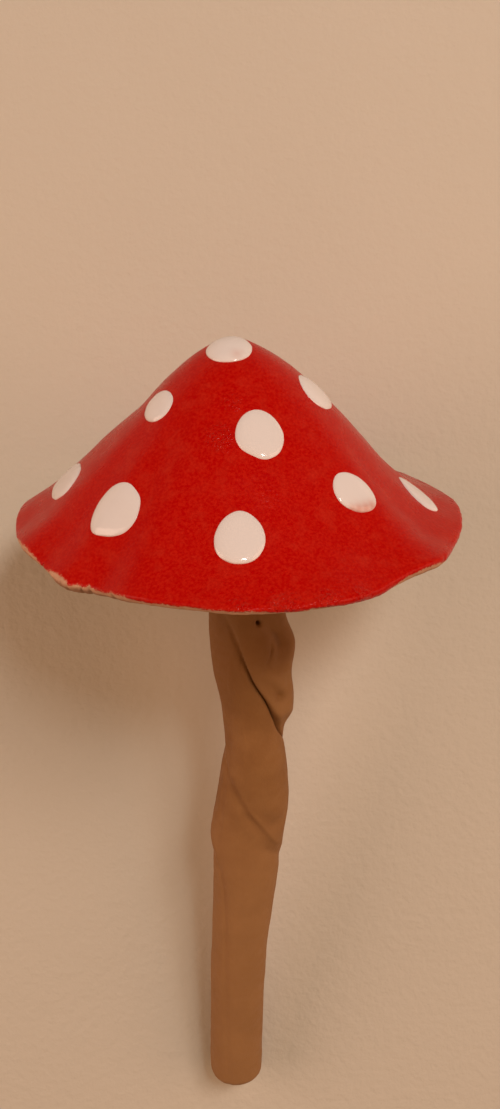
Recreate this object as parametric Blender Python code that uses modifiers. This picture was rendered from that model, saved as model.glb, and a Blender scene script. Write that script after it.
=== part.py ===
"""Hand-built ceramic fly agaric toadstool, lying on its side on a flat surface.

The toadstool is shaped standing up, in millimetres: the rim's mean plane is z = 0, the apex is up, the front is
towards -y and the right side towards +x. Its parts hang from an empty, which lays it down: the front turns up,
the apex points along +Y, and the back of the rim and the foot of the stem touch the floor at Z = 0.
"""

import math

import bmesh
import bpy
from mathutils import Matrix, Vector

MM = 0.001
COLLECTION = "ceramic_fly_agaric"

# Gap between neighbouring pieces.
GAP = 0.35

# Cap: nominal radius, wall thickness, and how far the apex sits to the right of the rim's centre.
CAP_RADIUS = 62.5
CAP_WALL = 4.2
APEX_SHIFT = 2.1

# Section of the cap's outer surface, from the left rim over the apex to the right rim: (distance, height).
SECTION = [
    (-62.5, 0.0), (-51.0, 8.5), (-42.5, 16.8), (-34.5, 24.6), (-27.0, 31.4), (-18.5, 40.4), (-10.5, 47.2),
    (-5.0, 50.2), (0.0, 50.6), (5.0, 48.6), (10.5, 45.6), (18.5, 39.4), (27.0, 31.1), (34.5, 22.8),
    (42.5, 13.5), (51.0, 6.2), (62.5, 0.0),
]

# Outline of the hand-cut rim, from the front round by the right: (angle in degrees, radius, lift).
# The corners at 164 and 196 degrees are the two that the toadstool lies on.
RIM = [
    (0, 61.7, -1.7), (12, 61.7, -1.9), (24, 62.1, -1.6), (36, 61.6, -1.5), (44, 61.6, 0.2), (54, 64.7, 2.2),
    (66, 63.2, 1.3), (80, 63.2, 2.4), (95, 64.0, 3.0), (112, 64.5, 2.2), (130, 65.0, 2.5), (148, 65.0, 2.5),
    (164, 65.5, 2.0), (180, 62.0, 2.0), (196, 65.5, 2.0), (212, 64.5, 2.0), (230, 63.5, 1.5), (248, 62.0, 1.0),
    (265, 61.2, 1.2), (280, 60.2, -0.4), (294, 59.8, 0.2), (304, 58.3, -1.8), (314, 59.4, -3.1),
    (324, 56.8, -3.0), (336, 59.5, -1.4), (348, 60.0, -1.4),
]
CAP_RINGS = 13
CAP_SEGMENTS = 52

# Stem: left edge, right edge and half depth of the twisted strip at each height.
STEM = [
    (38.0, -5.5, 12.0, 9.0), (20.0, -6.5, 13.5, 9.6), (0.0, -7.0, 13.5, 10.0), (-20.0, -7.0, 13.9, 9.4),
    (-28.0, -7.2, 14.4, 9.0), (-36.0, -7.1, 16.7, 8.8), (-45.0, -6.0, 15.7, 9.2), (-54.0, -4.2, 15.9, 9.8),
    (-62.0, -3.2, 14.2, 10.4), (-68.0, -2.7, 14.6, 10.8), (-78.0, -3.9, 16.0, 10.2), (-90.0, -5.5, 16.2, 9.4),
    (-102.0, -6.6, 14.8, 9.3), (-112.0, -6.6, 13.6, 9.8), (-125.0, -6.8, 12.2, 9.6), (-139.0, -7.3, 10.8, 9.2),
    (-155.0, -8.0, 9.6, 8.8), (-175.0, -8.4, 8.9, 8.6), (-195.0, -8.2, 8.4, 8.4),
]
STEM_TOP = STEM[0][0]
STEM_FOOT = STEM[-1][0]
STEM_RINGS = 36
STEM_SEGMENTS = 20
# The ends are rounded over this height, down to this share of the section.
STEM_END = 4.0
STEM_END_SHARE = 0.72

# Clay coil pressed round the stem's top: where it meets the cap's underside, as shares of the way from the
# apex to the rim, where it leaves the stem, and how far it bulges below a straight line.
COIL_CAP_REACH = (0.26, 0.35)
COIL_STEM_HEIGHTS = (36.0, 23.0)
COIL_BULGE = 1.5
COIL_SEGMENTS = 30

# Raised glaze spots: name, plan position of the centre, half width, half length up the slope, turn in degrees.
# Plan positions are on the cap seen from above, before the rim's waviness.
SPOTS = [
    ("spot_top", -2.6, -4.5, 6.3, 5.9, 0),
    ("spot_upper_1", -20.6, -10.8, 5.0, 5.4, 0),
    ("spot_upper_2", 6.0, -26.5, 6.0, 7.0, 0),
    ("spot_upper_3", 20.6, -3.8, 6.2, 6.4, 0),
    ("spot_upper_4", 11.5, 22.5, 5.6, 6.0, 15),
    ("spot_upper_5", -17.0, 18.0, 6.1, 6.6, -10),
    ("spot_lower_1", -46.6, -4.1, 8.4, 5.9, 0),
    ("spot_lower_2", -30.7, -32.7, 7.2, 7.7, 0),
    ("spot_lower_3", 1.8, -46.8, 6.2, 7.0, 0),
    ("spot_lower_4", 30.3, -27.2, 5.2, 6.5, 50),
    ("spot_lower_5", 49.9, -4.0, 4.3, 7.5, -37),
    ("spot_lower_6", 34.0, 31.5, 6.4, 6.9, 0),
    ("spot_lower_7", -1.5, 45.5, 6.8, 7.2, 0),
    ("spot_lower_8", -34.5, 32.5, 6.0, 6.6, 20),
]
SPOT_HEIGHT = 1.2
SPOT_SEGMENTS = 16
SPOT_RINGS = 3
SPOT_EDGE_HEIGHT = 0.35

# Lying pose: the stem's axis rises by this angle from the foot to the cap.
LIE_TILT = 15.87

GLAZE_RED = (0.42, 0.012, 0.008, 1.0)
GLAZE_WHITE = (0.80, 0.68, 0.60, 1.0)
STEM_CLAY = (0.24, 0.11, 0.045, 1.0)
CAP_CLAY = (0.40, 0.22, 0.13, 1.0)


def smooth(points, value, column=1, period=None):
    """Height of a smooth curve through (x, y, ...) points at x = value; it closes on itself over a period."""
    xs = [point[0] for point in points]
    ys = [point[column] for point in points]
    if period:
        value = (value - xs[0]) % period + xs[0]
        xs = [xs[-1] - period, *xs, xs[0] + period, xs[1] + period]
        ys = [ys[-1], *ys, ys[0], ys[1]]
    elif xs[0] > xs[-1]:
        xs.reverse()
        ys.reverse()
    last = len(xs) - 1
    value = min(max(value, xs[0]), xs[last])
    i = max(k for k in range(last) if xs[k] <= value)

    def slope(k):
        if k == 0 or k == last:
            near = 1 if k == 0 else last - 1
            return (ys[near] - ys[k]) / (xs[near] - xs[k])
        before = xs[k] - xs[k - 1]
        after = xs[k + 1] - xs[k]
        rise_before = (ys[k] - ys[k - 1]) / before
        rise_after = (ys[k + 1] - ys[k]) / after
        return (rise_before * after + rise_after * before) / (before + after)

    step = xs[i + 1] - xs[i]
    t = (value - xs[i]) / step
    start = (1 + 2 * t) * (1 - t) ** 2 * ys[i] + t * (1 - t) ** 2 * step * slope(i)
    end = t * t * (3 - 2 * t) * ys[i + 1] + t * t * (t - 1) * step * slope(i + 1)
    return start + end


def cap_point(x, y):
    """Point of the cap's outer surface over the plan position (x, y)."""
    angle = math.atan2(x, -y)
    reach = math.hypot(x, y) / CAP_RADIUS
    rightness = 0.5 + 0.5 * math.sin(angle)
    right = smooth(SECTION, CAP_RADIUS * reach)
    left = smooth(SECTION, -CAP_RADIUS * reach)
    waviness = reach ** 3
    degrees = math.degrees(angle)
    radius = CAP_RADIUS * reach + (smooth(RIM, degrees, 1, 360) - CAP_RADIUS) * waviness
    lift = smooth(RIM, degrees, 2, 360) * waviness
    return Vector((
        radius * math.sin(angle) + APEX_SHIFT * (1 - reach),
        -radius * math.cos(angle),
        right * rightness + left * (1 - rightness) + lift,
    ))


def cap_frame(x, y):
    """Point of the cap's outer surface with its plan derivatives and its outward normal."""
    step = 0.5
    along_x = (cap_point(x + step, y) - cap_point(x - step, y)) / (2 * step)
    along_y = (cap_point(x, y + step) - cap_point(x, y - step)) / (2 * step)
    return cap_point(x, y), along_x, along_y, along_x.cross(along_y).normalized()


def cap_inside(angle, reach):
    """Point of the cap's underside, at an angle in radians and a share of the way to the rim."""
    x = CAP_RADIUS * reach * math.sin(angle)
    y = -CAP_RADIUS * reach * math.cos(angle)
    point, _, _, normal = cap_frame(x, y)
    return point - normal * CAP_WALL


def stem_point(angle, height, share=1.0):
    """Point of the stem's section at a height; share 1 is on its surface and 0 on its centre line."""
    left = smooth(STEM, height, 1)
    right = smooth(STEM, height, 2)
    depth = smooth(STEM, height, 3)
    x = (left + right) / 2 + share * (right - left) / 2 * math.sin(angle)
    return Vector((x, -share * depth * math.cos(angle), height))


def spun(profile, segments):
    """Surface of revolution about Z from (radius, height) points, as a bmesh."""
    bm = bmesh.new()
    verts = [bm.verts.new((radius, 0.0, height)) for radius, height in profile]
    edges = [bm.edges.new(pair) for pair in zip(verts, verts[1:])]
    bmesh.ops.spin(bm, geom=verts + edges, cent=(0, 0, 0), axis=(0, 0, 1), angle=math.tau,
                   steps=segments, use_merge=True, use_duplicate=False)
    bmesh.ops.remove_doubles(bm, verts=bm.verts, dist=1e-5)
    bmesh.ops.recalc_face_normals(bm, faces=bm.faces)
    return bm


def face_outwards(bm):
    """Turn a closed body's faces out."""
    if bm.calc_volume(signed=True) < 0:
        bmesh.ops.reverse_faces(bm, faces=bm.faces)


def material(name, color, roughness):
    """Principled material of one finish."""
    result = bpy.data.materials.new(name)
    result.use_nodes = True
    shader = result.node_tree.nodes["Principled BSDF"]
    shader.inputs["Base Color"].default_value = color
    shader.inputs["Roughness"].default_value = roughness
    return result


def part(name, bm, finish, parent):
    """Object made from a bmesh in millimetres, smooth shaded and hung from the parent."""
    bmesh.ops.scale(bm, vec=(MM, MM, MM), verts=bm.verts)
    mesh = bpy.data.meshes.new(name)
    bm.to_mesh(mesh)
    bm.free()
    mesh.shade_smooth()
    mesh.materials.append(finish)
    result = bpy.data.objects.new(name, mesh)
    result.parent = parent
    bpy.data.collections[COLLECTION].objects.link(result)
    return result


def make_cap(parent):
    """Cone-shaped bowl: a spun disc lifted onto the outer surface and given its wall."""
    rings = [CAP_RADIUS * ring / CAP_RINGS for ring in range(CAP_RINGS + 1)]
    bm = spun([(radius, 0.0) for radius in rings], CAP_SEGMENTS)
    for vert in bm.verts:
        vert.co = cap_point(vert.co.x, vert.co.y)
    bm.normal_update()
    bm.faces.ensure_lookup_table()
    if bm.faces[0].normal.z < 0:
        bmesh.ops.reverse_faces(bm, faces=bm.faces)
    cap = part("cap", bm, material("red_glaze", GLAZE_RED, 0.35), parent)
    wall = cap.modifiers.new("wall", "SOLIDIFY")
    wall.thickness = CAP_WALL * MM
    wall.offset = -1.0
    wall.use_even_offset = True
    wall.use_rim = True


def make_stem(parent):
    """Strip of clay folded, twisted and rolled: a spun blank pushed out to each section."""
    profile = [(0.0, STEM_FOOT), (STEM_END_SHARE, STEM_FOOT)]
    low = STEM_FOOT + STEM_END
    high = STEM_TOP - STEM_END
    profile += [(1.0, low + (high - low) * ring / STEM_RINGS) for ring in range(STEM_RINGS + 1)]
    profile += [(STEM_END_SHARE, STEM_TOP), (0.0, STEM_TOP)]
    bm = spun(profile, STEM_SEGMENTS)
    for vert in bm.verts:
        share = math.hypot(vert.co.x, vert.co.y)
        vert.co = stem_point(math.atan2(vert.co.x, -vert.co.y), vert.co.z, share)
    face_outwards(bm)
    part("stem", bm, material("bare_stem_clay", STEM_CLAY, 0.8), parent)


def make_joint_coil(parent):
    """Ring of clay that fills the wedge between the stem's top and the cap's underside."""
    bm = bmesh.new()
    rings = []
    for segment in range(COIL_SEGMENTS):
        angle = math.tau * segment / COIL_SEGMENTS
        top, bottom = (stem_point(angle, height) for height in COIL_STEM_HEIGHTS)
        outward = Vector((math.sin(angle), -math.cos(angle), 0.0))
        top += outward * GAP
        bottom += outward * GAP
        upper, lower = (cap_inside(angle, reach) for reach in COIL_CAP_REACH)
        into = (upper - lower).cross(Vector((math.cos(angle), math.sin(angle), 0.0))).normalized()
        if into.dot(outward) > 0:
            into = -into
        upper += into * GAP
        lower += into * GAP
        bulge = (lower + bottom) / 2 + Vector((0.0, 0.0, -COIL_BULGE)) + outward * COIL_BULGE / 2
        rings.append([bm.verts.new(point) for point in (top, upper, lower, bulge, bottom)])
    for ring, following in zip(rings, rings[1:] + rings[:1]):
        for corner in range(len(ring)):
            after = (corner + 1) % len(ring)
            bm.faces.new((ring[corner], ring[after], following[after], following[corner]))
    bmesh.ops.recalc_face_normals(bm, faces=bm.faces)
    face_outwards(bm)
    part("joint_coil", bm, material("bare_cap_clay", CAP_CLAY, 0.8), parent)


def make_spot(parent, finish, name, x, y, half_width, half_length, turn):
    """Low dome of white glaze on the cap, with a short upright edge."""
    _, along_x, along_y, normal = cap_frame(x, y)
    across = Vector((0.0, 0.0, 1.0)).cross(normal).normalized()
    upslope = normal.cross(across)
    # Plan steps that move a point by one millimetre across and one up the slope.
    tangents = Matrix(((along_x.dot(across), along_y.dot(across)), (along_x.dot(upslope), along_y.dot(upslope))))
    plan_steps = tangents.inverted()
    profile = [(0.0, 0.0)] + [(ring / SPOT_RINGS, 0.0) for ring in range(1, SPOT_RINGS + 1)]
    for ring in range(SPOT_RINGS, 0, -1):
        reach = ring / SPOT_RINGS
        dome = (SPOT_HEIGHT - SPOT_EDGE_HEIGHT) * math.sqrt(1 - reach ** 2)
        profile.append((reach, SPOT_EDGE_HEIGHT + dome))
    profile.append((0.0, SPOT_HEIGHT))
    bm = spun(profile, SPOT_SEGMENTS)
    spin = Matrix.Rotation(math.radians(turn), 2)
    for vert in bm.verts:
        flat = spin @ Vector((vert.co.x * half_width, vert.co.y * half_length))
        plan = Vector((x, y)) + plan_steps @ flat
        point, _, _, outward = cap_frame(plan.x, plan.y)
        vert.co = point + outward * (GAP + vert.co.z)
    face_outwards(bm)
    part(name, bm, finish, parent)


def lay_down(pose):
    """Turn the empty onto its side, then set the object's box on the floor and centre it over the origin."""
    pose.rotation_euler = (math.radians(LIE_TILT - 90.0), 0.0, 0.0)
    bpy.context.view_layer.update()
    depsgraph = bpy.context.evaluated_depsgraph_get()
    corners = []
    for item in pose.children:
        solid = item.evaluated_get(depsgraph)
        mesh = solid.to_mesh()
        corners += [solid.matrix_world @ vert.co for vert in mesh.vertices]
        solid.to_mesh_clear()
    low = [min(corner[axis] for corner in corners) for axis in range(3)]
    high = [max(corner[axis] for corner in corners) for axis in range(3)]
    pose.location = (-(low[0] + high[0]) / 2, -(low[1] + high[1]) / 2, -low[2])


def main():
    for item in list(bpy.data.objects):
        bpy.data.objects.remove(item)
    bpy.context.scene.collection.children.link(bpy.data.collections.new(COLLECTION))
    pose = bpy.data.objects.new("lying_pose", None)
    bpy.data.collections[COLLECTION].objects.link(pose)
    make_cap(pose)
    make_stem(pose)
    make_joint_coil(pose)
    glaze = material("white_glaze", GLAZE_WHITE, 0.15)
    for spot in SPOTS:
        make_spot(pose, glaze, *spot)
    lay_down(pose)


main()
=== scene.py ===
"""Looks of a hand-built ceramic fly agaric toadstool that lies on its side on a pale surface.

The toadstool is shaped standing up, in millimetres: the rim's mean plane is z = 0, the apex is up, the front is
towards -y and the right side towards +x. One matrix then lays it down as the CAD model lies. Angles round the cap
and the stem are in degrees, from the front towards the right.
"""
import math

import bpy
import numpy as np
from mathutils import Matrix, Vector, noise


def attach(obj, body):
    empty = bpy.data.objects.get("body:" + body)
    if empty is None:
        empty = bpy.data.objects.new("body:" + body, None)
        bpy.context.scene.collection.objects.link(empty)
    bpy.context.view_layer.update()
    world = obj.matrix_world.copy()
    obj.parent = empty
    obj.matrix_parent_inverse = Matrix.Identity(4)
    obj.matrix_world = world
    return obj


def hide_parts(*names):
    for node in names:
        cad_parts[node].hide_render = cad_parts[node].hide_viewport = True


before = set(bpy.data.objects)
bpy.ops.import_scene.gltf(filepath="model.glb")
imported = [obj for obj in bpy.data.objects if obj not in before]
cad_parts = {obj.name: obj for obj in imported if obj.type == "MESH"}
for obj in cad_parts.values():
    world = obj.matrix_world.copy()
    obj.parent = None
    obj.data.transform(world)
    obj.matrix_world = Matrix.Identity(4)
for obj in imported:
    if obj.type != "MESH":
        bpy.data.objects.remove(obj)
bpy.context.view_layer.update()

MM = 0.001
BODY = "root"

# Lying pose of the CAD model: rise of the stem's axis, and where the rim's centre lies.
LIE_TILT = 15.87
RIM_CENTRE = (-1.431, 69.739, 60.348)

# Camera, in the standing frame: place, downward pitch, focal length on the picture's long side.
CAMERA_PLACE = (4.7, -318.6, 105.8)
CAMERA_PITCH = 20.0
CAMERA_LENS = 38.95
CAMERA_SENSOR = 36.0

FLOOR_SIZE = 1.9

# Cap: nominal radius, wall thickness, and how far the apex sits to the right of the rim's centre.
CAP_RADIUS = 62.5
CAP_WALL = 4.2
APEX_SHIFT = 2.1

# Section of the cap's outer surface, from the left rim over the apex to the right rim: (distance, height).
SECTION = [
    (-62.5, 0.0), (-51.0, 8.5), (-42.5, 16.8), (-34.5, 24.6), (-27.0, 31.4), (-18.5, 40.4), (-10.5, 47.2),
    (-5.0, 50.2), (0.0, 50.6), (5.0, 48.6), (10.5, 45.6), (18.5, 39.4), (27.0, 31.1), (34.5, 22.8),
    (42.5, 13.5), (51.0, 6.2), (62.5, 0.0),
]

# Outline of the hand-cut rim, from the front round by the right: (angle, radius, lift).
RIM = [
    (0, 61.7, -1.7), (12, 61.7, -1.9), (24, 62.1, -1.6), (36, 61.6, -1.5), (44, 61.6, 0.2), (54, 64.7, 2.2),
    (66, 63.2, 1.3), (80, 63.2, 2.4), (95, 64.0, 3.0), (112, 64.5, 2.2), (130, 65.0, 2.5), (148, 65.0, 2.5),
    (164, 65.5, 2.0), (180, 62.0, 2.0), (196, 65.5, 2.0), (212, 64.5, 2.0), (230, 63.5, 1.5), (248, 62.0, 1.0),
    (265, 61.2, 1.2), (280, 60.2, -0.4), (294, 59.8, 0.2), (304, 58.3, -1.8), (314, 59.4, -3.1),
    (324, 56.8, -3.0), (336, 59.5, -1.4), (348, 60.0, -1.4),
]
CAP_OUTER_RINGS = 92
CAP_EDGE_RINGS = 14
CAP_INNER_RINGS = 44
# Columns of the cap's mesh lie closer together along the rough stretch of rim: (from, to, spacing).
CAP_COLUMNS = [(284.0, 350.0, 0.32), (350.0, 644.0, 0.86)]

# Cut edge of the rim: (angle, thickness, how far it bulges out).
RIM_EDGE = [
    (0, 2.5, 1.2), (25, 2.5, 1.2), (45, 3.2, 1.3), (75, 3.6, 1.5), (110, 3.8, 1.5), (150, 3.8, 1.6), (190, 3.8, 1.6),
    (230, 3.8, 1.5), (265, 3.8, 1.4), (288, 4.0, 1.2), (298, 4.2, 1.0), (312, 4.4, 1.0), (325, 4.0, 1.1),
    (336, 3.2, 1.1), (348, 2.7, 1.1),
]
EDGE_SQUARENESS = 0.7
# Where the glaze ends, in millimetres past the rim's upper corner: (angle, distance).
GLAZE_END = [
    (0, 1.5), (7, 1.6), (13, 2.3), (20, 2.1), (27, 2.8), (38, 3.0), (46, 1.8), (51, 1.7), (58, 2.9), (75, 3.2),
    (110, 2.8), (150, 2.4), (190, 2.8), (230, 2.0), (265, 2.0), (283, 1.4), (289, 0.6), (296, 0.3), (302, 0.9),
    (304, 1.4), (307, 0.4), (310, -0.3), (312.5, -0.8), (315, -0.2), (316.6, 0.8), (318.4, 0.2), (320, 0.6),
    (321.6, 0.3), (323.4, 0.8), (327, 1.2), (331, 0.8), (335, 1.3), (338.5, 1.8), (344, 1.6), (350, 1.5),
]
# Small radial tears in the rim: (angle, depth, half width).
RIM_TEARS = [
    (303.6, 0.8, 0.35), (315.6, 0.3, 0.4), (319.6, 0.5, 0.3), (321.8, 0.5, 0.5), (329.5, 0.4, 0.3), (57.0, 0.6, 0.5),
    (18.5, 0.35, 0.5), (128.0, 0.7, 0.5), (151.0, 0.5, 0.4), (233.0, 0.6, 0.5),
]
# Patches of blistered glaze: (angle, share of the way to the rim, size, strength).
BLISTERS = [
    (-8.0, 0.44, 4.5, 1.0), (-4.0, 0.33, 4.0, 0.7), (13.0, 0.62, 5.0, 0.3), (2.0, 1.0, 4.0, 0.8),
    (12.0, 1.0, 5.0, 1.0), (22.0, 1.0, 4.0, 1.0), (31.0, 1.0, 3.0, 0.8), (140.0, 0.5, 8.0, 0.7), (215.0, 0.7, 7.0, 0.6),
]

# Stem: left edge, right edge and half depth of the twisted strip at each height.
STEM = [
    (-195.0, -8.2, 8.4, 8.4), (-175.0, -8.4, 8.9, 8.6), (-155.0, -8.0, 9.6, 8.8), (-139.0, -7.3, 10.8, 9.2),
    (-125.0, -6.8, 12.2, 9.6), (-112.0, -6.6, 13.6, 9.8), (-102.0, -6.6, 14.8, 9.3), (-90.0, -5.5, 16.2, 9.4),
    (-78.0, -3.9, 16.0, 10.2), (-68.0, -2.7, 14.6, 10.8), (-62.0, -3.2, 14.2, 10.4), (-54.0, -4.2, 15.9, 9.8),
    (-45.0, -6.0, 15.7, 9.2), (-36.0, -7.1, 16.7, 8.8), (-28.0, -7.2, 14.4, 9.0), (-20.0, -7.0, 13.9, 9.4),
    (0.0, -7.0, 13.5, 10.0), (20.0, -6.5, 13.5, 9.6), (38.0, -5.5, 12.0, 9.0),
]
STEM_ROWS = 520
STEM_COLUMNS = 180
STEM_END = 4.0
STEM_GIRTH_RADIUS = 10.5

# Edge of the flap that winds round the stem: (angle, height, step up to the flap, distance over which it rises,
# depth of the slit, its width). Angles run on past a full turn.
FLAP_EDGE = [
    (-200, 34, 0.0, 2, 0.0, 2.0), (-150, 20, 0.2, 2, 0.1, 2.0), (-95, 1, 0.35, 2, 0.2, 2.0),
    (-60, -13, 0.4, 2, 0.25, 1.8), (-34, -25, 0.5, 1.5, 0.4, 1.5), (-22, -29, 0.6, 1.2, 0.45, 1.2),
    (-15, -33.5, 0.7, 0.9, 0.5, 0.9), (-11, -37, 0.8, 0.5, 0.8, 0.5), (1.5, -44, 0.9, 0.4, 1.1, 0.45),
    (10, -47.5, 1.0, 0.4, 1.2, 0.45), (20, -51, 1.1, 0.4, 1.3, 0.45), (30, -54.6, 1.3, 0.6, 1.3, 0.45),
    (47, -58.8, 1.7, 1.5, 1.4, 0.5), (70, -64, 2.3, 5, 1.2, 0.6), (95, -68, 2.3, 7, 0.8, 0.8),
    (135, -79, 0.9, 5, 0.4, 1.5), (180, -90, 0.5, 3, 0.3, 2.0), (225, -99, 0.6, 3, 0.3, 2.0),
    (270, -104, 1.0, 4, 0.3, 1.6), (300, -109, 1.1, 4, 0.3, 1.4), (314, -113, 0.5, 3, 0.35, 1.2),
    (322, -121, 0.3, 2, 0.35, 1.2), (328, -132, 0.25, 2, 0.3, 1.4), (334, -146, 0.2, 2, 0.25, 1.6),
    (342, -165, 0.15, 2, 0.2, 1.8), (350, -190, 0.0, 2, 0.1, 2.0),
]
# Soft seam below it: the same values.
LOWER_SEAM = [
    (-330, -10, 0.0, 2, 0.0, 2.0), (-285, -22, 0.5, 3, 0.3, 2.0), (-240, -34, 0.5, 3, 0.3, 2.0),
    (-180, -49, 0.4, 3, 0.3, 2.0), (-135, -60, 0.4, 3, 0.3, 2.0), (-90, -69, 0.3, 3, 0.3, 2.0),
    (-54, -76.2, 0.35, 2, 0.45, 1.8), (-28, -83, 0.4, 2, 0.6, 1.5), (-5, -89.4, 0.4, 1.4, 0.5, 1.4),
    (12, -93.4, 0.3, 1.4, 0.4, 1.6), (27, -97, 0.3, 2, 0.35, 1.8), (44, -101, 0.3, 2, 0.3, 2.0),
    (65, -104, 0.3, 2, 0.3, 2.0), (90, -108, 0.3, 2, 0.3, 2.0), (135, -118, 0.4, 2, 0.3, 2.0),
    (180, -131, 0.35, 2, 0.3, 2.0), (225, -146, 0.3, 2, 0.25, 2.0), (270, -163, 0.2, 2, 0.2, 2.0),
    (300, -185, 0.0, 2, 0.1, 2.0),
]
# Strokes pressed in (minus) or left standing (plus) on the stem: width, then (angle, height, rise) along each.
STEM_STROKES = [
    (2.3, [(27, -27, -0.2), (34, -29.5, -0.7), (45.5, -32.5, -1.1), (48, -36, -1.1), (46, -39, -0.8), (38, -42, -0.3)]),
    (3.0, [(60, -22, 0.5), (78, -27, 0.9), (80, -36, 0.9), (78, -44, 0.6), (70, -50, 0.3)]),
    (0.32, [(31, -34.6, -0.1), (30.3, -36.8, -0.6), (28, -38.4, -0.45), (23, -40.6, -0.1)]),
    (1.1, [(32, -34, -0.15), (29, -38, -0.3), (21, -42, -0.15)]),
    (1.6, [(20, -42.2, 0.2), (33.5, -44.3, 0.45), (47, -46.8, 0.45), (60, -49.5, 0.2)]),
    (1.3, [(26, -45.6, -0.1), (36, -49, -0.4), (45, -51.2, -0.5), (50, -52.0, -0.3)]),
    (0.45, [(17.6, -27.2, -0.3), (16, -23, -0.2)]),
    (0.6, [(-7, -88.6, 0.05), (-2, -88.7, 0.3), (12.5, -92.2, 0.4), (27, -95.8, 0.4), (43, -99.6, 0.35), (56, -102, 0.15)]),
    (2.6, [(14, -89.6, -0.3), (24, -91.6, -0.6), (36, -93.6, -0.8), (48, -94.2, -0.7), (62, -94, -0.3)]),
    (2.2, [(8, -98.6, -0.2), (32, -102.4, -0.4), (54, -105, -0.4), (75, -107, -0.2)]),
]
# Round dents in the stem: (angle, height, radius, rise).
STEM_DENTS = [
    (18.5, -27.8, 0.7, -2.4), (45, -51.2, 1.7, -0.55), (-20, -64, 9.0, -0.3), (15, -72, 9.0, 0.35),
    (150, -30, 8.0, -0.5), (-120, -88, 7.0, -0.5), (110, -140, 9.0, -0.5), (-60, -160, 9.0, -0.4),
    (40, -172, 8.0, -0.4), (180, -182, 7.0, -0.4),
]

# Clay coil round the stem's top.
COIL_CAP_REACH = (0.26, 0.35)
COIL_STEM_HEIGHTS = (36.0, 23.0)

# Raised glaze spots: name, plan position, and the outline's radius every 30 degrees, from the right going up the
# slope and round.
SPOTS = [
    ("spot_top", -2.6, -4.5, (6.1, 6.2, 6.1, 6.0, 6.2, 6.5, 6.3, 6.1, 6.4, 6.5, 6.5, 6.4)),
    ("spot_upper_1", -20.6, -10.8, (5.9, 5.9, 4.9, 4.5, 4.9, 5.6, 5.5, 4.9, 4.9, 5.3, 5.7, 5.8)),
    ("spot_upper_2", 6.0, -26.2, (6.2, 6.4, 7.0, 7.3, 7.0, 6.5, 6.3, 6.3, 6.4, 7.2, 6.8, 6.2)),
    ("spot_upper_3", 20.6, -3.8, (6.2, 6.3, 6.5, 6.4, 6.7, 7.0, 6.9, 6.5, 6.1, 6.0, 6.1, 6.2)),
    ("spot_upper_4", 11.5, 22.5, (5.8, 6.0, 6.2, 6.1, 5.8, 5.5, 5.5, 5.7, 6.0, 6.2, 6.0, 5.8)),
    ("spot_upper_5", -17.0, 18.0, (6.2, 6.4, 6.7, 6.8, 6.4, 6.0, 6.1, 6.3, 6.5, 6.4, 6.1, 6.0)),
    ("spot_lower_1", -46.6, -3.9, (8.8, 7.8, 6.4, 5.7, 6.5, 8.1, 8.9, 7.9, 6.5, 6.1, 6.6, 7.9)),
    ("spot_lower_2", -30.7, -32.4, (7.6, 7.8, 7.6, 8.0, 7.8, 7.1, 7.0, 7.6, 8.2, 7.5, 7.5, 7.6)),
    ("spot_lower_3", 1.8, -46.3, (6.2, 6.4, 6.9, 7.3, 6.8, 6.3, 6.4, 6.9, 7.3, 7.3, 6.8, 6.3)),
    ("spot_lower_4", 30.25, -26.8, (6.0, 5.5, 5.2, 5.6, 6.4, 6.8, 6.3, 5.8, 5.9, 6.5, 6.9, 6.5)),
    ("spot_lower_5", 49.9, -4.0, (4.8, 6.5, 7.8, 5.7, 4.4, 4.2, 4.8, 6.4, 7.3, 5.6, 4.4, 4.2)),
    ("spot_lower_6", 34.0, 31.5, (6.3, 6.5, 6.9, 7.0, 6.6, 6.2, 6.3, 6.6, 7.0, 6.9, 6.5, 6.2)),
    ("spot_lower_7", -1.5, 45.5, (6.8, 6.9, 7.2, 7.4, 7.1, 6.7, 6.6, 6.9, 7.1, 7.0, 6.8, 6.7)),
    ("spot_lower_8", -34.5, 32.5, (5.9, 6.3, 6.6, 6.4, 6.0, 5.8, 6.0, 6.4, 6.7, 6.6, 6.1, 5.8)),
]
# Thin places in the white glaze, in the spot's own plane: (along, up the slope, size, strength).
THIN_PATCHES = {
    # On spot_top the patches are partly thin glaze and partly painted shade of a small dimple, which is not modelled.
    "spot_top": [(2.6, -4.0, 1.4, 0.35), (3.6, -3.0, 1.0, 0.2)],
    "spot_lower_4": [(-3.4, -4.9, 1.6, 0.9), (-1.6, -5.5, 1.9, 1.0), (0.6, -5.8, 2.0, 1.0), (2.6, -5.4, 1.8, 0.9)],
}
SPOT_HEIGHT = 1.15
SPOT_ROUNDS = 30
SPOT_SEGMENTS = 96

LAY_DOWN = Matrix.Translation(RIM_CENTRE) @ Matrix.Rotation(math.radians(LIE_TILT - 90.0), 4, "X")
TO_ROW = Matrix.Scale(MM, 4) @ LAY_DOWN


# --- Curves, noise and meshes -----------------------------------------------------------------------------------

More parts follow.
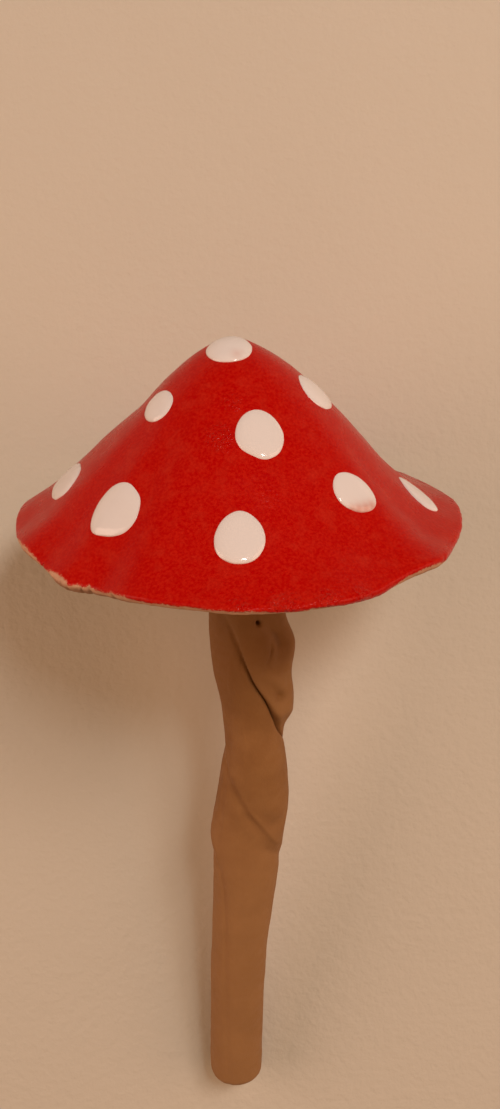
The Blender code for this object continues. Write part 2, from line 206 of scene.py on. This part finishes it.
def smooth(points, value, column=1, period=None):
    """Heights of a smooth curve through (x, y, ...) points at the given values; it closes on itself over a period."""
    xs = np.array([point[0] for point in points], float)
    ys = np.array([point[column] for point in points], float)
    value = np.asarray(value, float)
    if period:
        value = (value - xs[0]) % period + xs[0]
        xs = np.concatenate([[xs[-1] - period], xs, [xs[0] + period, xs[1] + period]])
        ys = np.concatenate([[ys[-1]], ys, [ys[0], ys[1]]])
    value = np.clip(value, xs[0], xs[-1])
    slope = np.gradient(ys, xs)
    i = np.clip(np.searchsorted(xs, value, side="right") - 1, 0, len(xs) - 2)
    step = xs[i + 1] - xs[i]
    t = (value - xs[i]) / step
    start = (1 + 2 * t) * (1 - t) ** 2 * ys[i] + t * (1 - t) ** 2 * step * slope[i]
    end = t * t * (3 - 2 * t) * ys[i + 1] + t * t * (t - 1) * step * slope[i + 1]
    return start + end


def ramp(value, low, high):
    """0 below low, 1 above high, smooth between."""
    t = np.clip((value - low) / (high - low), 0, 1)
    return t * t * (3 - 2 * t)


def bell(value, width):
    """Bell curve of height 1 at 0."""
    return np.exp(-(value / width) ** 2)


def lumps(points, size, seed=0, octaves=1):
    """Smooth noise of about -1 to 1 over points in millimetres, with features of the given size."""
    flat = points.reshape(-1, 3)
    total = np.zeros(len(flat))
    for octave in range(octaves):
        scale = 2.0 ** octave / size
        shift = Vector((seed * 7.31, octave * 3.7, seed * 1.9))
        total += np.array([noise.noise(Vector(p) * scale + shift) for p in flat]) / 2 ** octave
    return total.reshape(points.shape[:-1])


def grid_faces(rows, columns, first=0):
    """Quads between rows of vertices that each close on themselves."""
    row = np.arange(rows - 1)[:, None] * columns
    column = np.arange(columns)[None, :]
    after = (column + 1) % columns
    corners = [row + column, row + after, row + columns + after, row + columns + column]
    return np.stack(corners, -1).reshape(-1, 4) + first


def fan_faces(tip, ring, flip):
    """Triangles from a tip vertex to a closed ring of vertices."""
    after = np.roll(ring, -1)
    tips = np.full(len(ring), tip)
    return np.stack([tips, after, ring] if flip else [tips, ring, after], -1)


def piece(name, verts, faces, finish, replaced, attributes=None):
    """Object in the row frame from points in the standing frame, smooth shaded, riding on the body."""
    mesh = bpy.data.meshes.new(name)
    mesh.from_pydata(verts.tolist(), [], [face for group in faces for face in group.tolist()])
    mesh.transform(TO_ROW)
    for label, values in (attributes or {}).items():
        layer = mesh.attributes.new(label, "FLOAT", "POINT")
        layer.data.foreach_set("value", np.asarray(values, np.float32).ravel())
    mesh.shade_smooth()
    mesh.materials.append(finish)
    mesh.update()
    result = bpy.data.objects.new(name, mesh)
    bpy.context.scene.collection.objects.link(result)
    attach(result, BODY)
    if replaced:
        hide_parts(*replaced)
    return result


# --- Cap ---------------------------------------------------------------------------------------------------------

def cap_points(x, y):
    """Points of the cap's outer surface over plan positions."""
    angle = np.arctan2(x, -y)
    reach = np.hypot(x, y) / CAP_RADIUS
    rightness = 0.5 + 0.5 * np.sin(angle)
    right = smooth(SECTION, CAP_RADIUS * reach)
    left = smooth(SECTION, -CAP_RADIUS * reach)
    waviness = reach ** 3
    degrees = np.degrees(angle)
    radius = CAP_RADIUS * reach + (smooth(RIM, degrees, 1, 360) - CAP_RADIUS) * waviness
    lift = smooth(RIM, degrees, 2, 360) * waviness
    return np.stack([
        radius * np.sin(angle) + APEX_SHIFT * (1 - reach),
        -radius * np.cos(angle),
        right * rightness + left * (1 - rightness) + lift,
    ], -1)


def cap_frames(x, y):
    """Points of the cap's outer surface, their plan derivatives and their outward normals."""
    step = 0.4
    along_x = (cap_points(x + step, y) - cap_points(x - step, y)) / (2 * step)
    along_y = (cap_points(x, y + step) - cap_points(x, y - step)) / (2 * step)
    normal = np.cross(along_x, along_y)
    return cap_points(x, y), along_x, along_y, normal / np.linalg.norm(normal, axis=-1, keepdims=True)


def plan(angle, reach):
    """Plan position at an angle in degrees and a share of the way to the rim."""
    turn = np.radians(angle)
    return CAP_RADIUS * reach * np.sin(turn), -CAP_RADIUS * reach * np.cos(turn)


def shell_rows(angles):
    """Rows of points of the bare clay shell, from near the apex over the rim and back along the underside.

    Also the way out of the clay at each point, and how far past the rim's upper corner the point is.
    """
    thickness, bulge = (smooth(RIM_EDGE, angles, column, 360) for column in (1, 2))
    edge_reach = 1 - bulge / CAP_RADIUS
    # Outer rings crowd towards the rim, where the detail is.
    share = 1 - (1 - np.linspace(0, 1, CAP_OUTER_RINGS + 1)[1:]) ** 1.3
    outer, _, _, outer_out = cap_frames(*plan(angles[None, :], share[:, None] * edge_reach[None, :]))
    outer = outer + outer_out * (0.22 * lumps(outer, 16, 1) + 0.12 * lumps(outer, 7, 2))[..., None]

    corner, normal = outer[-1], outer_out[-1]
    outward = corner - outer[-3]
    outward /= np.linalg.norm(outward, axis=-1, keepdims=True)
    turn = np.linspace(0, math.pi, CAP_EDGE_RINGS + 2)[1:-1, None]
    rise = np.sign(np.cos(turn)) * np.abs(np.cos(turn)) ** EDGE_SQUARENESS
    push = np.sin(turn) ** EDGE_SQUARENESS
    middle = corner - normal * (thickness / 2)[:, None]
    edge = middle + normal * (rise * thickness / 2)[..., None] + outward * (push * bulge)[..., None]
    crumble = 0.16 * lumps(edge, 2.2, 3, 2) + 0.25 * lumps(edge, 8, 4)
    edge = edge + outward * (crumble * push)[..., None]
    edge_out = outward * push[..., None] + normal * rise[..., None]

    inner_share = np.linspace(1, 0, CAP_INNER_RINGS + 1)[:-1, None]
    top, _, _, top_out = cap_frames(*plan(angles[None, :], inner_share * edge_reach[None, :]))
    wall = CAP_WALL + (thickness - CAP_WALL) * inner_share ** 6
    marks = (0.45 * lumps(top, 13, 5) + 0.2 * lumps(top, 5, 6)) * (1 - inner_share ** 12)
    inner = top - top_out * (wall + marks)[..., None]

    rows = np.concatenate([outer, edge, inner])
    out = np.concatenate([outer_out, edge_out, -top_out])
    steps = np.linalg.norm(np.diff(rows, axis=0), axis=-1)
    along = np.concatenate([np.zeros((1, len(angles))), np.cumsum(steps, 0)])
    past_corner = along - along[CAP_OUTER_RINGS - 1]

    near_rim = ramp(past_corner, -2.2, 0.3) * (1 - ramp(past_corner, 6.0, 9.0))
    for tear_angle, depth, half_width in RIM_TEARS:
        apart = np.radians((angles - tear_angle + 180) % 360 - 180) * CAP_RADIUS
        rows = rows - outward * (depth * bell(apart, half_width) * near_rim)[..., None]
    return rows, out, past_corner


def make_cap(finish):
    """One shell: glazed outside, rounded cut edge with its tears, bare underside with finger marks."""
    angles = np.concatenate([np.arange(*stretch) for stretch in CAP_COLUMNS]) % 360
    columns = len(angles)
    rows, out, past_corner = shell_rows(angles)
    # Glaze ends in a ragged line, and stands a little proud of the clay.
    ragged = 0.3 * lumps(rows, 2.5, 8) + 0.3 * lumps(rows, 1.0, 9)
    glaze = smooth(GLAZE_END, angles, 1, 360) + ragged - past_corner
    rows = rows + out * (0.18 * ramp(glaze, -0.3, 0.5))[..., None]

    apex = cap_points(np.zeros(1), np.zeros(1))
    hollow = apex - np.array([[0, 0, CAP_WALL + 0.4]])
    verts = np.concatenate([rows.reshape(-1, 3), apex, hollow])
    count = rows.shape[0] * columns
    faces = [
        grid_faces(rows.shape[0], columns)[:, ::-1],
        fan_faces(count, np.arange(columns), False),
        fan_faces(count + 1, np.arange(count - columns, count), True),
    ]
    blisters = np.zeros(glaze.shape)
    for patch_angle, reach, size, share in BLISTERS:
        centre = cap_points(*plan(patch_angle, reach))
        away = np.linalg.norm(rows - centre, axis=-1)
        blisters = np.maximum(blisters, share * bell(away, size))
    attributes = {
        "glaze": np.concatenate([glaze.ravel(), [20.0, -60.0]]),
        "blisters": np.concatenate([blisters.ravel(), [0.0, 0.0]]),
    }
    return piece("glazed_cap", verts, faces, finish, ["cap"], attributes)


def make_spot(name, x, y, radii, finish, seed):
    """Flat-topped bead of white glaze with a steep rounded edge, sunk a little into the red glaze."""
    one = np.array([x]), np.array([y])
    _, along_x, along_y, normal = (value[0] for value in cap_frames(*one))
    across = np.cross((0, 0, 1), normal)
    across /= np.linalg.norm(across)
    upslope = np.cross(normal, across)
    tangents = np.array([[along_x @ across, along_y @ across], [along_x @ upslope, along_y @ upslope]])
    plan_steps = np.linalg.inv(tangents)
    outline = [(30 * k, radius) for k, radius in enumerate(radii)]
    angles = np.arange(SPOT_SEGMENTS) * 360 / SPOT_SEGMENTS
    edge = smooth(outline, angles, 1, 360)
    edge = edge + 0.10 * lumps(np.stack([np.cos(np.radians(angles)), np.sin(np.radians(angles)), angles * 0], -1) * 5,
                               2.5, seed)
    # From the sunk skirt up over the edge to the middle.
    turn = np.linspace(0, 1, SPOT_ROUNDS)
    share = np.cos(turn * math.pi / 2) ** 0.55
    share[0] = 1.0
    height = SPOT_HEIGHT * (1 - share ** 3.2) ** 0.5
    share = share * (1 - 0.02 * bell(height, 0.12))
    flat = share[:, None, None] * edge[None, :, None] * np.stack([np.cos(np.radians(angles)),
                                                                   np.sin(np.radians(angles))], -1)[None]
    centre_x, centre_y = x, y
    steps = flat @ plan_steps.T
    points, _, _, outward = cap_frames(centre_x + steps[..., 0], centre_y + steps[..., 1])
    sag = -0.12 * SPOT_HEIGHT * flat[..., 1:2] / 7.0
    lift = height[:, None, None] * (1 + sag) + 0.05 * lumps(points, 5, seed)[..., None] - 0.02
    body = points + outward * lift
    skirt_points, _, _, skirt_normal = points[0], None, None, outward[0]
    skirt = skirt_points - skirt_normal * 0.5
    rows = np.concatenate([skirt[None], body[:-1]])
    tip = body[-1].mean(0, keepdims=True)
    base = skirt.mean(0, keepdims=True)
    verts = np.concatenate([rows.reshape(-1, 3), tip, base])
    count = rows.shape[0] * SPOT_SEGMENTS
    faces = [
        grid_faces(rows.shape[0], SPOT_SEGMENTS),
        fan_faces(count, np.arange(count - SPOT_SEGMENTS, count), True)[:, ::-1],
        fan_faces(count + 1, np.arange(SPOT_SEGMENTS), True),
    ]
    depth = np.concatenate([[0.0], 1 - share[:-1]])
    inward = np.concatenate([np.repeat(depth, SPOT_SEGMENTS), [1.0, 0.0]])
    thin = np.zeros(flat.shape[:2])
    for along, up, size, strength in THIN_PATCHES.get(name, []):
        thin = np.maximum(thin, strength * bell(np.hypot(flat[..., 0] - along, flat[..., 1] - up), size))
    thin = np.concatenate([thin[0], thin[:-1].ravel(), thin[-1].mean(keepdims=True), [0.0]])
    return piece(name + "_bead", verts, faces, finish, [name], {"inward": inward, "thin": thin})


# --- Stem --------------------------------------------------------------------------------------------------------

def stem_section(angle, height):
    """Points and outward directions of the plain twisted strip."""
    left, right, depth = (smooth(STEM, height, column) for column in (1, 2, 3))
    turn = np.radians(angle)
    half = (right - left) / 2
    x = (left + right) / 2 + half * np.sin(turn)
    y = -depth * np.cos(turn)
    outward = np.stack([np.sin(turn) / half, -np.cos(turn) / depth, turn * 0], -1)
    outward /= np.linalg.norm(outward, axis=-1, keepdims=True)
    return np.stack([x, y, height + turn * 0], -1), outward


def seam(line, angle, height):
    """Distance above a line that winds round the stem, and the line's further values at that angle."""
    nearest = np.full(angle.shape, 1e3)
    values = [np.zeros(angle.shape) for _ in line[0][2:]]
    first, last = line[0][0], line[-1][0]
    for turn in (-1, 0, 1):
        wound = angle + 360 * turn
        slant = (smooth(line, wound + 3) - smooth(line, wound - 3)) / (math.radians(6) * STEM_GIRTH_RADIUS)
        away = (height - smooth(line, wound)) / np.sqrt(1 + slant ** 2)
        nearer = (np.abs(away) < np.abs(nearest)) & (wound >= first) & (wound <= last)
        nearest = np.where(nearer, away, nearest)
        values = [np.where(nearer, smooth(line, wound, k + 2), value) for k, value in enumerate(values)]
    return nearest, *values


def seam_relief(line, angle, height):
    """Rise of the clay beside a winding seam: a step up above it, which fades out, and a groove along it."""
    above, step, rise, groove, width = seam(line, angle, height)
    flap = step * ramp(above, -0.5 * width, rise) * np.exp(-np.clip(above - rise, 0, 80) / 9)
    return flap - groove * bell(above + 0.5 * width, width)


def stroke_relief(width, line, angle, height):
    """Rise of the clay along a short open stroke, whose rise changes along it."""
    nearest = np.full(angle.shape, 1e3)
    rise = np.zeros(angle.shape)
    for (a0, z0, rise0), (a1, z1, rise1) in zip(line, line[1:]):
        du, dz = math.radians(a1 - a0) * STEM_GIRTH_RADIUS, z1 - z0
        u = np.radians((angle - a0 + 180) % 360 - 180) * STEM_GIRTH_RADIUS
        z = height - z0
        t = np.clip((u * du + z * dz) / (du * du + dz * dz), 0, 1)
        away = np.hypot(u - t * du, z - t * dz)
        rise = np.where(away < nearest, rise0 + (rise1 - rise0) * t, rise)
        nearest = np.minimum(nearest, away)
    return rise * bell(nearest, width)


def stem_rows(angle, height):
    """Points of the stem with its folds, creases and dents, and how far each is pushed out of the plain section."""
    points, outward = stem_section(angle, height)
    push = seam_relief(FLAP_EDGE, angle, height) + seam_relief(LOWER_SEAM, angle, height)
    for width, line in STEM_STROKES:
        push = push + stroke_relief(width, line, angle, height)
    for dent_angle, dent_height, radius, rise in STEM_DENTS:
        spot = [(dent_angle, dent_height, rise), (dent_angle, dent_height - 0.1, rise)]
        push = push + stroke_relief(radius, spot, angle, height)
    push = push + 0.25 * lumps(points, 14, 11) + 0.10 * lumps(points, 5, 12) + 0.03 * lumps(points, 1.6, 13)
    points = points + outward * push[..., None]
    # The flap's edge hangs a little over its slit.
    above, step, _, _, width = seam(FLAP_EDGE, angle, height)
    points[..., 2] -= 0.6 * step * bell(above - width, 1.5 * width)
    return points, push


def make_stem(finish):
    """Strip of clay folded over itself and twisted, with rounded ends."""
    low, high = STEM[0][0], STEM[-1][0]
    heights = np.linspace(low, high, STEM_ROWS)[:, None]
    angles = (np.arange(STEM_COLUMNS) * 360 / STEM_COLUMNS - 180)[None, :]
    angle, height = np.broadcast_arrays(angles, heights)
    points, push = stem_rows(angle, height)
    for end, side in ((low, 1), (high, -1)):
        depth = np.clip((end + side * STEM_END - height) * side / STEM_END, 0, 1)
        shrink = 1 - 0.75 * (1 - np.sqrt(np.clip(1 - depth ** 2, 0, 1)))
        centre = points.mean(1, keepdims=True)
        points[..., :2] = centre[..., :2] + (points[..., :2] - centre[..., :2]) * shrink[..., None]
    foot = points[0].mean(0, keepdims=True)
    top = points[-1].mean(0, keepdims=True)
    verts = np.concatenate([points.reshape(-1, 3), foot, top])
    count = STEM_ROWS * STEM_COLUMNS
    faces = [
        grid_faces(STEM_ROWS, STEM_COLUMNS),
        fan_faces(count, np.arange(STEM_COLUMNS), True),
        fan_faces(count + 1, np.arange(count - STEM_COLUMNS, count), False),
    ]
    attributes = {
        "push": np.concatenate([push.ravel(), [0.0, 0.0]]),
        "height": np.concatenate([height.ravel(), [low, high]]),
    }
    return piece("twisted_stem", verts, faces, finish, ["stem"], attributes)


def make_joint_coil(finish):
    """Soft coil of clay thumbed into the wedge between the stem and the cap's underside."""
    columns, around = 200, 26
    angles = np.arange(columns) * 360 / columns
    top, bottom = (stem_section(angles, np.full(columns, height))[0] for height in COIL_STEM_HEIGHTS)
    upper, lower = [], []
    for reach, rim in zip(COIL_CAP_REACH, (upper, lower)):
        point, _, _, normal = cap_frames(*plan(angles, reach))
        rim.append(point - normal * (CAP_WALL + 0.1))
    upper, lower = upper[0], lower[0]
    centre = (top + bottom + upper + lower) / 4
    # The section is a rounded form that reaches each of its four corners.
    corners = np.stack([top, upper, lower, bottom]) - centre[None]
    rows = []
    for step in range(around):
        part = step / around * 4
        first = int(part) % 4
        second = (first + 1) % 4
        blend = part - int(part)
        blend = blend * blend * (3 - 2 * blend)
        chord = corners[first] * (1 - blend) + corners[second] * blend
        rows.append(centre + chord * (1 + 0.25 * math.sin(math.pi * blend)))
    points = np.stack(rows)
    thumbed = 0.9 * lumps(points, 8, 21) + 0.3 * lumps(points, 3, 22)
    away = points - centre[None]
    away /= np.linalg.norm(away, axis=-1, keepdims=True)
    facing_down = np.clip(-away[..., 2], 0, 1)
    points = points + away * (thumbed * facing_down)[..., None]
    rings = np.concatenate([points, points[:1]])
    verts = points.reshape(-1, 3)
    faces = grid_faces(rings.shape[0], columns)
    faces = np.where(faces >= around * columns, faces - around * columns, faces)
    return piece("thumbed_coil", verts, [faces], finish, ["joint_coil"])


# --- Materials ---------------------------------------------------------------------------------------------------

class Nodes:
    """Short calls for building one material's nodes. Sizes of textures are in millimetres."""

    def __init__(self, name, roughness, specular=0.5):
        self.material = bpy.data.materials.new(name)
        self.material.use_nodes = True
        self.tree = self.material.node_tree
        self.shader = self.tree.nodes["Principled BSDF"]
        self.shader.inputs["Roughness"].default_value = roughness
        self.shader.inputs["Specular IOR Level"].default_value = specular
        self.place = self.tree.nodes.new("ShaderNodeTexCoord").outputs["Object"]

    def new(self, kind, **settings):
        node = self.tree.nodes.new(kind)
        for key, value in settings.items():
            setattr(node, key, value)
        return node

    def feed(self, socket, value):
        if isinstance(value, (int, float, tuple)):
            socket.default_value = value
        else:
            self.tree.links.new(value, socket)

    def noise(self, size, detail=2.0, roughness=0.5, distortion=0.0):
        node = self.new("ShaderNodeTexNoise")
        self.feed(node.inputs["Vector"], self.place)
        node.inputs["Scale"].default_value = 1 / (size * MM)
        node.inputs["Detail"].default_value = detail
        node.inputs["Roughness"].default_value = roughness
        node.inputs["Distortion"].default_value = distortion
        return node.outputs["Fac"]

    def attribute(self, name):
        return self.new("ShaderNodeAttribute", attribute_name=name).outputs["Fac"]

    def math(self, operation, first, second=0.0):
        node = self.new("ShaderNodeMath", operation=operation)
        self.feed(node.inputs[0], first)
        self.feed(node.inputs[1], second)
        return node.outputs[0]

    def range(self, value, low, high, to_low=0.0, to_high=1.0):
        node = self.new("ShaderNodeMapRange", interpolation_type="SMOOTHSTEP")
        self.feed(node.inputs["Value"], value)
        for socket, number in zip(("From Min", "From Max", "To Min", "To Max"), (low, high, to_low, to_high)):
            self.feed(node.inputs[socket], number)
        return node.outputs["Result"]

    def mix(self, factor, first, second):
        node = self.new("ShaderNodeMix", data_type="RGBA")
        self.feed(node.inputs["Factor"], factor)
        self.feed(node.inputs["A"], first)
        self.feed(node.inputs["B"], second)
        return node.outputs["Result"]

    def mix_value(self, factor, first, second):
        node = self.new("ShaderNodeMix", data_type="FLOAT")
        self.feed(node.inputs["Factor"], factor)
        self.feed(node.inputs["A"], first)
        self.feed(node.inputs["B"], second)
        return node.outputs["Result"]

    def bump(self, height, depth):
        """Bump whose height output of 1 stands for the given depth in millimetres."""
        node = self.new("ShaderNodeBump")
        node.inputs["Distance"].default_value = depth * MM
        self.feed(node.inputs["Height"], height)
        self.feed(self.shader.inputs["Normal"], node.outputs["Normal"])

    def color(self, value):
        self.feed(self.shader.inputs["Base Color"], value)

    def rough(self, value):
        self.feed(self.shader.inputs["Roughness"], value)


RED = (0.515, 0.0110, 0.0040, 1.0)
RED_DEEP = (0.43, 0.0010, 0.0005, 1.0)
RED_PALE = (0.54, 0.040, 0.018, 1.0)
RED_THIN = (0.60, 0.19, 0.11, 1.0)
CAP_CLAY = (0.66, 0.38, 0.235, 1.0)
# Darker clay: a random tone on the cap and coil, and painted shade on the cap's cut edge and underside.
CAP_CLAY_DARK = (0.38, 0.21, 0.125, 1.0)
STEM_CLAY = (0.290, 0.138, 0.044, 1.0)
STEM_CLAY_DARK = (0.240, 0.108, 0.032, 1.0)
# Paler clay: painted light on the stem's lower part, and the tone of its raised folds.
STEM_CLAY_PALE = (0.36, 0.19, 0.075, 1.0)
# Painted shadow of the cap on the stem's top.
STEM_CLAY_CAP_SHADOW = (0.19, 0.082, 0.020, 1.0)
# Painted shade in the stem's creases.
STEM_CLAY_CREASE_SHADE = (0.10, 0.042, 0.012, 1.0)
WHITE = (0.80, 0.775, 0.745, 1.0)
WHITE_PINK = (0.64, 0.36, 0.30, 1.0)
FLOOR = (0.62, 0.585, 0.487, 1.0)
FLOOR_SHADE = (0.60, 0.565, 0.465, 1.0)


def cap_finish():
    """Red glaze, finely mottled, over tan clay that is darker away from the glaze line, as painted shade on the cut
    edge and underside.
    """
    nodes = Nodes("cap_red_glaze_over_clay", 0.3, 0.11)
    ragged = nodes.range(nodes.noise(0.5, 3, 0.6), 0.25, 0.75, -0.3, 0.3)
    edge = nodes.math("ADD", nodes.attribute("glaze"), ragged)
    covered = nodes.range(edge, -0.10, 0.10)
    mottle = nodes.range(nodes.noise(0.75, 4, 0.7), 0.38, 0.64)
    red = nodes.mix(mottle, RED_DEEP, RED)
    clouds = nodes.range(nodes.noise(5, 4, 0.65), 0.45, 0.75, 0.0, 0.28)
    red = nodes.mix(clouds, red, RED_PALE)
    thick = nodes.range(edge, 0.02, 0.5)
    thick = nodes.math("MAXIMUM", thick, nodes.range(nodes.noise(0.9, 2), 0.45, 0.6))
    red = nodes.mix(thick, RED_THIN, red)
    clay = nodes.mix(nodes.range(nodes.noise(3, 4, 0.6), 0.3, 0.7, 0.6, 1.0), CAP_CLAY_DARK, CAP_CLAY)
    # Painted shade: the clay darkens away from the glaze line, over the cut edge and the whole underside.
    clay = nodes.mix(nodes.range(edge, -2.0, -0.5), CAP_CLAY_DARK, clay)
    nodes.color(nodes.mix(covered, clay, red))
    blistered = nodes.attribute("blisters")
    gloss = nodes.range(nodes.noise(6, 2), 0.35, 0.7, 0.26, 0.36)
    gloss = nodes.mix_value(blistered, gloss, 0.10)
    nodes.rough(nodes.mix_value(covered, 0.8, gloss))
    # Orange peel all over, and coarser blisters where the glaze boiled.
    peel = nodes.math("MULTIPLY", nodes.noise(1.0, 2, 0.5), nodes.range(blistered, 0, 1, 0.35, 3.8))
    grain = nodes.math("MULTIPLY", nodes.noise(0.5, 4, 0.7), 0.8)
    nodes.bump(nodes.mix_value(covered, grain, peel), 0.22)
    return nodes.material


def spot_finish():
    """White glaze, thinner and pinker at its edge."""
    nodes = Nodes("spot_white_glaze", 0.13)
    thin = nodes.range(nodes.attribute("inward"), 0.0, 0.06, 0.7, 0.0)
    thin = nodes.math("MULTIPLY", thin, nodes.range(nodes.noise(5, 2), 0.35, 0.7))
    thin = nodes.math("MAXIMUM", thin, nodes.attribute("thin"))
    nodes.color(nodes.mix(thin, WHITE, WHITE_PINK))
    nodes.rough(nodes.range(nodes.noise(3, 2), 0.3, 0.7, 0.10, 0.16))
    nodes.bump(nodes.noise(3.0, 1), 0.06)
    return nodes.material


def stem_finish():
    """Bare brown clay with fine grit, paler on raised folds; painted shadow of the cap on its top, painted light on its
    lower part, painted shade in its creases.
    """
    nodes = Nodes("stem_bare_clay", 0.72, 0.3)
    clay = nodes.mix(nodes.range(nodes.noise(9, 3, 0.55), 0.3, 0.7), STEM_CLAY_DARK, STEM_CLAY)
    clay = nodes.mix(nodes.range(nodes.noise(0.8, 3, 0.6), 0.35, 0.75, 0.0, 0.25), clay, STEM_CLAY_DARK)
    height = nodes.attribute("height")
    # Painted shadow of the cap: the stem darkens from a little below the rim up to its top.
    clay = nodes.mix(nodes.range(height, -66, -50, 0.0, 0.6), clay, STEM_CLAY_CAP_SHADOW)
    # Painted light: the stem grows paler towards its foot.
    clay = nodes.mix(nodes.range(height, -68, -125, 0.0, 0.6), clay, STEM_CLAY_PALE)
    clay = nodes.mix(nodes.range(nodes.attribute("push"), 0.3, 1.6, 0.0, 0.35), clay, STEM_CLAY_PALE)
    # Painted shade: pressed-in creases and slits are darkened.
    clay = nodes.mix(nodes.range(nodes.attribute("push"), -1.3, -0.35, 0.8, 0.0), clay, STEM_CLAY_CREASE_SHADE)
    nodes.color(clay)
    nodes.rough(nodes.range(nodes.noise(2.5, 3), 0.3, 0.7, 0.62, 0.78))
    grit = nodes.math("ADD", nodes.noise(0.6, 4, 0.7), nodes.math("MULTIPLY", nodes.noise(2.5, 2), 0.8))
    nodes.bump(grit, 0.10)
    return nodes.material


def clay_finish():
    """Bare tan clay of the joint coil."""
    nodes = Nodes("coil_bare_clay", 0.8, 0.3)
    nodes.color(nodes.mix(nodes.range(nodes.noise(4, 4, 0.6), 0.3, 0.7), CAP_CLAY_DARK, CAP_CLAY))
    nodes.bump(nodes.noise(0.6, 4, 0.7), 0.22)
    return nodes.material


def floor_finish():
    """Pale plaster with a faint roller texture."""
    nodes = Nodes("floor_plaster", 0.85, 0.3)
    nodes.color(nodes.mix(nodes.noise(60, 3), FLOOR, FLOOR_SHADE))
    nodes.bump(nodes.math("ADD", nodes.noise(7, 3, 0.6), nodes.noise(2.5, 2)), 0.30)
    return nodes.material


# --- Scene -------------------------------------------------------------------------------------------------------

def place_camera():
    """Camera that looks down on the lying toadstool as a person holding it up would look at its front."""
    pitch = math.radians(CAMERA_PITCH)
    standing = Matrix.Translation(CAMERA_PLACE) @ Matrix.Rotation(math.pi / 2 - pitch, 4, "X")
    world = LAY_DOWN @ standing
    data = bpy.data.cameras.new("camera")
    data.sensor_fit = "AUTO"
    data.sensor_width = CAMERA_SENSOR
    data.lens = CAMERA_LENS
    data.clip_start = 0.01
    data.clip_end = 10
    camera = bpy.data.objects.new("camera", data)
    camera.rotation_mode = "QUATERNION"
    camera.location = world.translation * MM
    camera.rotation_quaternion = world.to_quaternion()
    bpy.context.scene.collection.objects.link(camera)
    bpy.context.scene.camera = camera


def soft_light(name, direction, distance, size, power, color, glossy=True):
    """Square light that shines on the cap from a direction in the standing frame: right, back, up."""
    away = (LAY_DOWN.to_3x3() @ Vector(direction)).normalized()
    data = bpy.data.lights.new(name, "AREA")
    data.shape = "SQUARE"
    data.size = size
    data.energy = power
    data.color = color
    light = bpy.data.objects.new(name, data)
    light.location = Vector((0.0, 0.03, 0.05)) + away * distance
    light.rotation_mode = "QUATERNION"
    light.rotation_quaternion = away.to_track_quat("Z", "Y")
    light.visible_glossy = glossy
    bpy.context.scene.collection.objects.link(light)


def make_surround(color, strength, shown):
    """World that lights the scene a little, and looks pale behind the floor's far edge."""
    world = bpy.data.worlds.new("surround")
    world.use_nodes = True
    tree = world.node_tree
    background = tree.nodes["Background"]
    background.inputs["Color"].default_value = (*color, 1.0)
    path = tree.nodes.new("ShaderNodeLightPath")
    blend = tree.nodes.new("ShaderNodeMapRange")
    blend.inputs["To Min"].default_value = strength
    blend.inputs["To Max"].default_value = shown
    tree.links.new(path.outputs["Is Camera Ray"], blend.inputs["Value"])
    tree.links.new(blend.outputs["Result"], background.inputs["Strength"])
    bpy.context.scene.world = world


def make_stage():
    """Floor, lights and a pale surround."""
    bpy.ops.mesh.primitive_plane_add(size=FLOOR_SIZE, location=(0, 0, 0))
    floor = bpy.context.object
    floor.name = "floor"
    floor.data.materials.append(floor_finish())
    soft_light("key_light", (0.50, -0.75, 0.85), 1.2, 0.30, 4.5, (1.0, 0.80, 0.71), False)
    soft_light("lamp_light", (0.25, -0.75, 0.62), 1.2, 0.18, 2.5, (1.0, 0.95, 0.92))
    soft_light("overhead_light", (-0.05, -1.0, 0.05), 1.2, 1.6, 3.1, (1.0, 0.44, 0.05))
    soft_light("right_light", (0.95, -0.45, 0.25), 1.2, 0.9, 5.8, (1.0, 0.59, 0.41))
    soft_light("left_light", (-0.95, -0.45, 0.25), 1.2, 0.9, 7.8, (1.0, 0.64, 0.50))
    soft_light("foot_light", (0.0, -0.55, -0.85), 1.2, 0.9, 1.4, (1.0, 0.80, 0.62))
    make_surround((1.0, 0.74, 0.54), 0.03, 0.6)
    bpy.context.scene.view_settings.view_transform = "Standard"


def main():
    place_camera()
    make_stage()
    make_cap(cap_finish())
    make_stem(stem_finish())
    make_joint_coil(clay_finish())
    white = spot_finish()
    for seed, (name, x, y, radii) in enumerate(SPOTS, 30):
        make_spot(name, x, y, radii, white, seed)


main()
